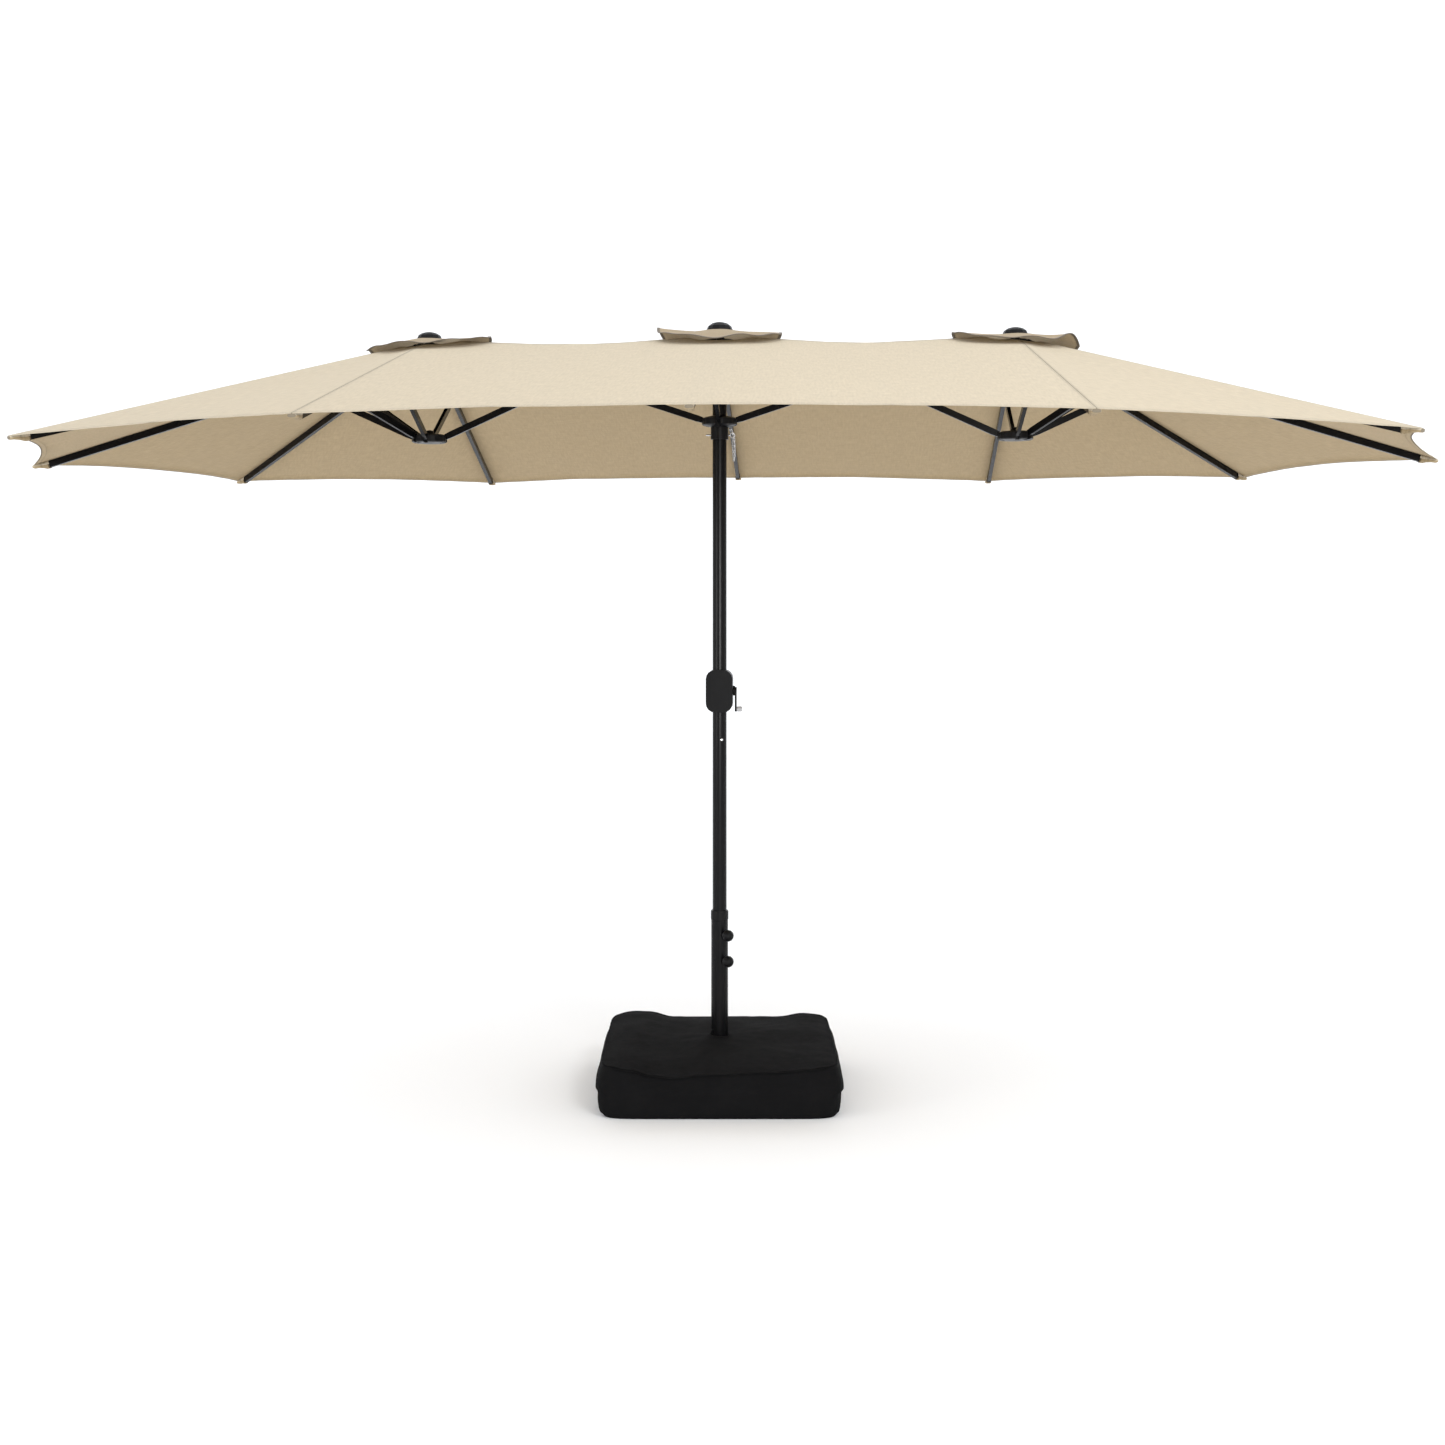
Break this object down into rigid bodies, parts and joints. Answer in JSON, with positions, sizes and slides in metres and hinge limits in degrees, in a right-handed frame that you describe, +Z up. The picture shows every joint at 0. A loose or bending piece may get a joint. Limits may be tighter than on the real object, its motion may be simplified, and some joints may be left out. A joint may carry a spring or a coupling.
{
  "type": "patio umbrella with base",
  "caption": "Long double-sided patio umbrella with three vented peaks, a folding rib frame, a crank on its pole and a square weight bag on its base",
  "frame": {"origin": "on the floor, on the pole's axis, which is the middle of the bounding box's bottom", "axes": "+Z up, +X along the long side of the canopy, -Y the front, where the knobs and the snap button face"},
  "size_m": [4.6, 2.73, 2.507],
  "materials": {
    "canopy_fabric": "woven beige polyester, matt, a little light passes through",
    "frame_black": "black powder coat, satin",
    "black_plastic": "black moulded plastic, satin",
    "bag_fabric": "heavy black woven polyester, matt",
    "bright_steel": "plated steel, bright",
    "grey_plastic": "light grey moulded plastic"
  },
  "bodies": {
    "base": {"base_bag": "bag_fabric", "base_stand": "frame_black"},
    "collar": {"tube_collar": "black_plastic"},
    "mast": {"pole_lower": "frame_black", "pole_upper": "frame_black", "top_hub": "black_plastic", "finial_centre": "black_plastic", "vent_cap_centre": "canopy_fabric", "canopy": "canopy_fabric", "crank_shell_front": "black_plastic", "crank_shell_rear": "black_plastic"},
    "button": {"snap_button": "bright_steel"},
    "crank": {"crank_handle": "black_plastic"},
    "grip": {"crank_grip": "grey_plastic"},
    "knob_upper": {"knob_upper": "black_plastic"},
    "knob_lower": {"knob_lower": "black_plastic"},
    "runner": {"runner": "black_plastic", "pin_chain": "bright_steel"},
    "lock_pin": {"lock_pin": "bright_steel"},
    "ridge_inner_left": {"ridge_inner_left": "frame_black"},
    "ridge_inner_right": {"ridge_inner_right": "frame_black"},
    "rib_middle_front": {"rib_middle_front": "frame_black"},
    "strut_middle_front": {"strut_middle_front": "frame_black"},
    "rib_middle_rear": {"rib_middle_rear": "frame_black"},
    "strut_middle_rear": {"strut_middle_rear": "frame_black"},
    "ridge_outer_left": {"ridge_outer_left": "frame_black"},
    "side_hub_left": {"side_hub_left": "black_plastic", "finial_left": "black_plastic", "vent_cap_left": "canopy_fabric"},
    "strut_ridge_inner_left": {"strut_ridge_inner_left": "frame_black"},
    "strut_ridge_outer_left": {"strut_ridge_outer_left": "frame_black"},
    "rib_left_rear": {"rib_left_rear": "frame_black"},
    "strut_left_rear": {"strut_left_rear": "frame_black"},
    "rib_left_corner_rear": {"rib_left_corner_rear": "frame_black"},
    "strut_left_corner_rear": {"strut_left_corner_rear": "frame_black"},
    "rib_left_end": {"rib_left_end": "frame_black"},
    "strut_left_end": {"strut_left_end": "frame_black"},
    "rib_left_corner_front": {"rib_left_corner_front": "frame_black"},
    "strut_left_corner_front": {"strut_left_corner_front": "frame_black"},
    "rib_left_front": {"rib_left_front": "frame_black"},
    "strut_left_front": {"strut_left_front": "frame_black"},
    "lower_hub_left": {"lower_hub_left": "black_plastic"},
    "ridge_outer_right": {"ridge_outer_right": "frame_black"},
    "side_hub_right": {"side_hub_right": "black_plastic", "finial_right": "black_plastic", "vent_cap_right": "canopy_fabric"},
    "strut_ridge_inner_right": {"strut_ridge_inner_right": "frame_black"},
    "strut_ridge_outer_right": {"strut_ridge_outer_right": "frame_black"},
    "rib_right_rear": {"rib_right_rear": "frame_black"},
    "strut_right_rear": {"strut_right_rear": "frame_black"},
    "rib_right_corner_rear": {"rib_right_corner_rear": "frame_black"},
    "strut_right_corner_rear": {"strut_right_corner_rear": "frame_black"},
    "rib_right_end": {"rib_right_end": "frame_black"},
    "strut_right_end": {"strut_right_end": "frame_black"},
    "rib_right_corner_front": {"rib_right_corner_front": "frame_black"},
    "strut_right_corner_front": {"strut_right_corner_front": "frame_black"},
    "rib_right_front": {"rib_right_front": "frame_black"},
    "strut_right_front": {"strut_right_front": "frame_black"},
    "lower_hub_right": {"lower_hub_right": "black_plastic"}
  },
  "joints": [
    {"name": "mast_turn", "type": "hinge", "parent": "base", "child": "collar", "pos_m": [0, 0, 0.5], "axis": [0, 0, 1], "continuous": true},
    {"name": "mast_lift", "type": "slide", "parent": "collar", "child": "mast", "axis": [0, 0, 1], "range_m": [0, 0.35]},
    {"name": "button_press", "type": "slide", "parent": "mast", "child": "button", "axis": [-0.342, 0.9397, 0], "range_m": [0, 0.004], "stiffness_N_per_m": 600, "springref_m": -0.002},
    {"name": "knob_upper_turn", "type": "hinge", "parent": "base", "child": "knob_upper", "pos_m": [0.02723, -0.04193, 0.508], "axis": [0.5446, -0.8387, 0], "continuous": true},
    {"name": "knob_lower_turn", "type": "hinge", "parent": "base", "child": "knob_lower", "pos_m": [0.02723, -0.04193, 0.424], "axis": [0.5446, -0.8387, 0], "continuous": true},
    {"name": "ridge_left_fold", "type": "hinge", "parent": "mast", "child": "ridge_inner_left", "pos_m": [-0.045, 0, 2.4333], "axis": [0, -1, 0], "range_deg": [0, 69.71], "deforming": ["canopy", "vent_cap_centre", "vent_cap_left", "vent_cap_right"]},
    {"name": "ridge_right_fold", "type": "hinge", "parent": "mast", "child": "ridge_inner_right", "pos_m": [0.045, 0, 2.4333], "axis": [0, 1, 0], "range_deg": [0, 69.72]},
    {"name": "rib_middle_front_fold", "type": "hinge", "parent": "mast", "child": "rib_middle_front", "pos_m": [0, -0.045, 2.4333], "axis": [1, 0, 0], "range_deg": [0, 69.72]},
    {"name": "strut_middle_front_fold", "type": "hinge", "parent": "rib_middle_front", "child": "strut_middle_front", "pos_m": [0, -0.4248, 2.3078], "axis": [-1, 0, 0], "range_deg": [0, 139.43]},
    {"name": "rib_middle_rear_fold", "type": "hinge", "parent": "mast", "child": "rib_middle_rear", "pos_m": [0, 0.045, 2.4333], "axis": [-1, 0, 0], "range_deg": [0, 69.72]},
    {"name": "strut_middle_rear_fold", "type": "hinge", "parent": "rib_middle_rear", "child": "strut_middle_rear", "pos_m": [0, 0.4248, 2.3078], "axis": [1, 0, 0], "range_deg": [0, 139.43]},
    {"name": "runner_swing", "type": "hinge", "parent": "strut_middle_front", "child": "runner", "pos_m": [0, -0.045, 2.1823], "axis": [1, 0, 0], "range_deg": [0, 69.72]},
    {"name": "ridge_left_knee", "type": "hinge", "parent": "ridge_inner_left", "child": "ridge_outer_left", "pos_m": [-0.53597, 0, 2.31757], "axis": [0, 1, 0], "range_deg": [0, 133.16]},
    {"name": "side_hub_left_level", "type": "hinge", "parent": "ridge_outer_left", "child": "side_hub_left", "pos_m": [-0.915, 0, 2.42587], "axis": [0, -1, 0], "range_deg": [0, 63.45]},
    {"name": "strut_ridge_inner_left_fold", "type": "hinge", "parent": "ridge_inner_left", "child": "strut_ridge_inner_left", "pos_m": [-0.4248, 0, 2.3078], "axis": [0, 1, 0], "range_deg": [0, 139.43]},
    {"name": "strut_ridge_outer_left_fold", "type": "hinge", "parent": "ridge_outer_left", "child": "strut_ridge_outer_left", "pos_m": [-0.59209, 0, 2.27837], "axis": [0, -1, 0], "range_deg": [0, 126.9]},
    {"name": "rib_left_rear_fold", "type": "hinge", "parent": "side_hub_left", "child": "rib_left_rear", "pos_m": [-0.96148, 0.04498, 2.42587], "axis": [-0.9995, -0.0329, 0], "range_deg": [0, 63.45]},
    {"name": "strut_left_rear_fold", "type": "hinge", "parent": "rib_left_rear", "child": "strut_left_rear", "pos_m": [-0.97212, 0.36771, 2.27837], "axis": [0.9995, 0.0329, 0], "range_deg": [0, 126.9]},
    {"name": "rib_left_corner_rear_fold", "type": "hinge", "parent": "side_hub_left", "child": "rib_left_corner_rear", "pos_m": [-0.99179, 0.03185, 2.42587], "axis": [-0.7078, -0.7064, 0], "range_deg": [0, 63.45]},
    {"name": "strut_left_corner_rear_fold", "type": "hinge", "parent": "rib_left_corner_rear", "child": "strut_left_corner_rear", "pos_m": [-1.21988, 0.26042, 2.27837], "axis": [0.7078, 0.7064, 0], "range_deg": [0, 126.9]},
    {"name": "rib_left_end_fold", "type": "hinge", "parent": "side_hub_left", "child": "rib_left_end", "pos_m": [-1.005, 0, 2.42587], "axis": [0, -1, 0], "range_deg": [0, 63.45]},
    {"name": "strut_left_end_fold", "type": "hinge", "parent": "rib_left_end", "child": "strut_left_end", "pos_m": [-1.32791, 0, 2.27837], "axis": [0, 1, 0], "range_deg": [0, 126.9]},
    {"name": "rib_left_corner_front_fold", "type": "hinge", "parent": "side_hub_left", "child": "rib_left_corner_front", "pos_m": [-0.99179, -0.03185, 2.42587], "axis": [0.7078, -0.7064, 0], "range_deg": [0, 63.45]},
    {"name": "strut_left_corner_front_fold", "type": "hinge", "parent": "rib_left_corner_front", "child": "strut_left_corner_front", "pos_m": [-1.21988, -0.26042, 2.27837], "axis": [-0.7078, 0.7064, 0], "range_deg": [0, 126.9]},
    {"name": "rib_left_front_fold", "type": "hinge", "parent": "side_hub_left", "child": "rib_left_front", "pos_m": [-0.96148, -0.04498, 2.42587], "axis": [0.9995, -0.0329, 0], "range_deg": [0, 63.45]},
    {"name": "strut_left_front_fold", "type": "hinge", "parent": "rib_left_front", "child": "strut_left_front", "pos_m": [-0.97212, -0.36771, 2.27837], "axis": [-0.9995, 0.0329, 0], "range_deg": [0, 126.9]},
    {"name": "lower_hub_left_level", "type": "hinge", "parent": "strut_left_end", "child": "lower_hub_left", "pos_m": [-1.005, 0, 2.13087], "axis": [0, -1, 0], "range_deg": [0, 63.45]},
    {"name": "ridge_right_knee", "type": "hinge", "parent": "ridge_inner_right", "child": "ridge_outer_right", "pos_m": [0.53597, 0, 2.31757], "axis": [0, -1, 0], "range_deg": [0, 133.16]},
    {"name": "side_hub_right_level", "type": "hinge", "parent": "ridge_outer_right", "child": "side_hub_right", "pos_m": [0.915, 0, 2.42587], "axis": [0, 1, 0], "range_deg": [0, 63.45]},
    {"name": "strut_ridge_inner_right_fold", "type": "hinge", "parent": "ridge_inner_right", "child": "strut_ridge_inner_right", "pos_m": [0.4248, 0, 2.3078], "axis": [0, -1, 0], "range_deg": [0, 139.43]},
    {"name": "strut_ridge_outer_right_fold", "type": "hinge", "parent": "ridge_outer_right", "child": "strut_ridge_outer_right", "pos_m": [0.59209, 0, 2.27837], "axis": [0, 1, 0], "range_deg": [0, 126.9]},
    {"name": "rib_right_rear_fold", "type": "hinge", "parent": "side_hub_right", "child": "rib_right_rear", "pos_m": [0.96148, 0.04498, 2.42587], "axis": [-0.9995, 0.0329, 0], "range_deg": [0, 63.45]},
    {"name": "strut_right_rear_fold", "type": "hinge", "parent": "rib_right_rear", "child": "strut_right_rear", "pos_m": [0.97212, 0.36771, 2.27837], "axis": [0.9995, -0.0329, 0], "range_deg": [0, 126.9]},
    {"name": "rib_right_corner_rear_fold", "type": "hinge", "parent": "side_hub_right", "child": "rib_right_corner_rear", "pos_m": [0.99179, 0.03185, 2.42587], "axis": [-0.7078, 0.7064, 0], "range_deg": [0, 63.45]},
    {"name": "strut_right_corner_rear_fold", "type": "hinge", "parent": "rib_right_corner_rear", "child": "strut_right_corner_rear", "pos_m": [1.21988, 0.26042, 2.27837], "axis": [0.7078, -0.7064, 0], "range_deg": [0, 126.9]},
    {"name": "rib_right_end_fold", "type": "hinge", "parent": "side_hub_right", "child": "rib_right_end", "pos_m": [1.005, 0, 2.42587], "axis": [0, 1, 0], "range_deg": [0, 63.45]},
    {"name": "strut_right_end_fold", "type": "hinge", "parent": "rib_right_end", "child": "strut_right_end", "pos_m": [1.32791, 0, 2.27837], "axis": [0, -1, 0], "range_deg": [0, 126.9]},
    {"name": "rib_right_corner_front_fold", "type": "hinge", "parent": "side_hub_right", "child": "rib_right_corner_front", "pos_m": [0.99179, -0.03185, 2.42587], "axis": [0.7078, 0.7064, 0], "range_deg": [0, 63.45]},
    {"name": "strut_right_corner_front_fold", "type": "hinge", "parent": "rib_right_corner_front", "child": "strut_right_corner_front", "pos_m": [1.21988, -0.26042, 2.27837], "axis": [-0.7078, -0.7064, 0], "range_deg": [0, 126.9]},
    {"name": "rib_right_front_fold", "type": "hinge", "parent": "side_hub_right", "child": "rib_right_front", "pos_m": [0.96148, -0.04498, 2.42587], "axis": [0.9995, 0.0329, 0], "range_deg": [0, 63.45]},
    {"name": "strut_right_front_fold", "type": "hinge", "parent": "rib_right_front", "child": "strut_right_front", "pos_m": [0.97212, -0.36771, 2.27837], "axis": [-0.9995, -0.0329, 0], "range_deg": [0, 126.9]},
    {"name": "lower_hub_right_level", "type": "hinge", "parent": "strut_right_end", "child": "lower_hub_right", "pos_m": [1.005, 0, 2.13087], "axis": [0, 1, 0], "range_deg": [0, 63.45]},
    {"name": "lock_pull", "type": "slide", "parent": "runner", "child": "lock_pin", "axis": [1, 0, 0], "range_m": [0, 0.03]},
    {"name": "crank_turn", "type": "hinge", "parent": "mast", "child": "crank", "pos_m": [0.05, 0, 1.301], "axis": [1, 0, 0], "range_deg": [0, 2160.01]},
    {"name": "grip_spin", "type": "hinge", "parent": "crank", "child": "grip", "pos_m": [0.06, 0, 1.241], "axis": [1, 0, 0], "continuous": true}
  ],
  "couplings": [
    {"joint": "ridge_right_fold", "follows": "ridge_left_fold", "ratio": 1},
    {"joint": "rib_middle_front_fold", "follows": "ridge_left_fold", "ratio": 1},
    {"joint": "strut_middle_front_fold", "follows": "ridge_left_fold", "ratio": 2},
    {"joint": "rib_middle_rear_fold", "follows": "ridge_left_fold", "ratio": 1},
    {"joint": "strut_middle_rear_fold", "follows": "ridge_left_fold", "ratio": 2},
    {"joint": "runner_swing", "follows": "ridge_left_fold", "ratio": 1},
    {"joint": "ridge_left_knee", "follows": "ridge_left_fold", "ratio": 1.9101},
    {"joint": "side_hub_left_level", "follows": "ridge_left_fold", "ratio": 0.91013},
    {"joint": "strut_ridge_inner_left_fold", "follows": "ridge_left_fold", "ratio": 2},
    {"joint": "strut_ridge_outer_left_fold", "follows": "ridge_left_fold", "ratio": 1.8203},
    {"joint": "rib_left_rear_fold", "follows": "ridge_left_fold", "ratio": 0.91013},
    {"joint": "strut_left_rear_fold", "follows": "ridge_left_fold", "ratio": 1.8203},
    {"joint": "rib_left_corner_rear_fold", "follows": "ridge_left_fold", "ratio": 0.91013},
    {"joint": "strut_left_corner_rear_fold", "follows": "ridge_left_fold", "ratio": 1.8203},
    {"joint": "rib_left_end_fold", "follows": "ridge_left_fold", "ratio": 0.91013},
    {"joint": "strut_left_end_fold", "follows": "ridge_left_fold", "ratio": 1.8203},
    {"joint": "rib_left_corner_front_fold", "follows": "ridge_left_fold", "ratio": 0.91013},
    {"joint": "strut_left_corner_front_fold", "follows": "ridge_left_fold", "ratio": 1.8203},
    {"joint": "rib_left_front_fold", "follows": "ridge_left_fold", "ratio": 0.91013},
    {"joint": "strut_left_front_fold", "follows": "ridge_left_fold", "ratio": 1.8203},
    {"joint": "lower_hub_left_level", "follows": "ridge_left_fold", "ratio": 0.91013},
    {"joint": "ridge_right_knee", "follows": "ridge_left_fold", "ratio": 1.9101},
    {"joint": "side_hub_right_level", "follows": "ridge_left_fold", "ratio": 0.91013},
    {"joint": "strut_ridge_inner_right_fold", "follows": "ridge_left_fold", "ratio": 2},
    {"joint": "strut_ridge_outer_right_fold", "follows": "ridge_left_fold", "ratio": 1.8203},
    {"joint": "rib_right_rear_fold", "follows": "ridge_left_fold", "ratio": 0.91013},
    {"joint": "strut_right_rear_fold", "follows": "ridge_left_fold", "ratio": 1.8203},
    {"joint": "rib_right_corner_rear_fold", "follows": "ridge_left_fold", "ratio": 0.91013},
    {"joint": "strut_right_corner_rear_fold", "follows": "ridge_left_fold", "ratio": 1.8203},
    {"joint": "rib_right_end_fold", "follows": "ridge_left_fold", "ratio": 0.91013},
    {"joint": "strut_right_end_fold", "follows": "ridge_left_fold", "ratio": 1.8203},
    {"joint": "rib_right_corner_front_fold", "follows": "ridge_left_fold", "ratio": 0.91013},
    {"joint": "strut_right_corner_front_fold", "follows": "ridge_left_fold", "ratio": 1.8203},
    {"joint": "rib_right_front_fold", "follows": "ridge_left_fold", "ratio": 0.91013},
    {"joint": "strut_right_front_fold", "follows": "ridge_left_fold", "ratio": 1.8203},
    {"joint": "lower_hub_right_level", "follows": "ridge_left_fold", "ratio": 0.91013},
    {"joint": "crank_turn", "follows": "ridge_left_fold", "ratio": 30.986}
  ]
}
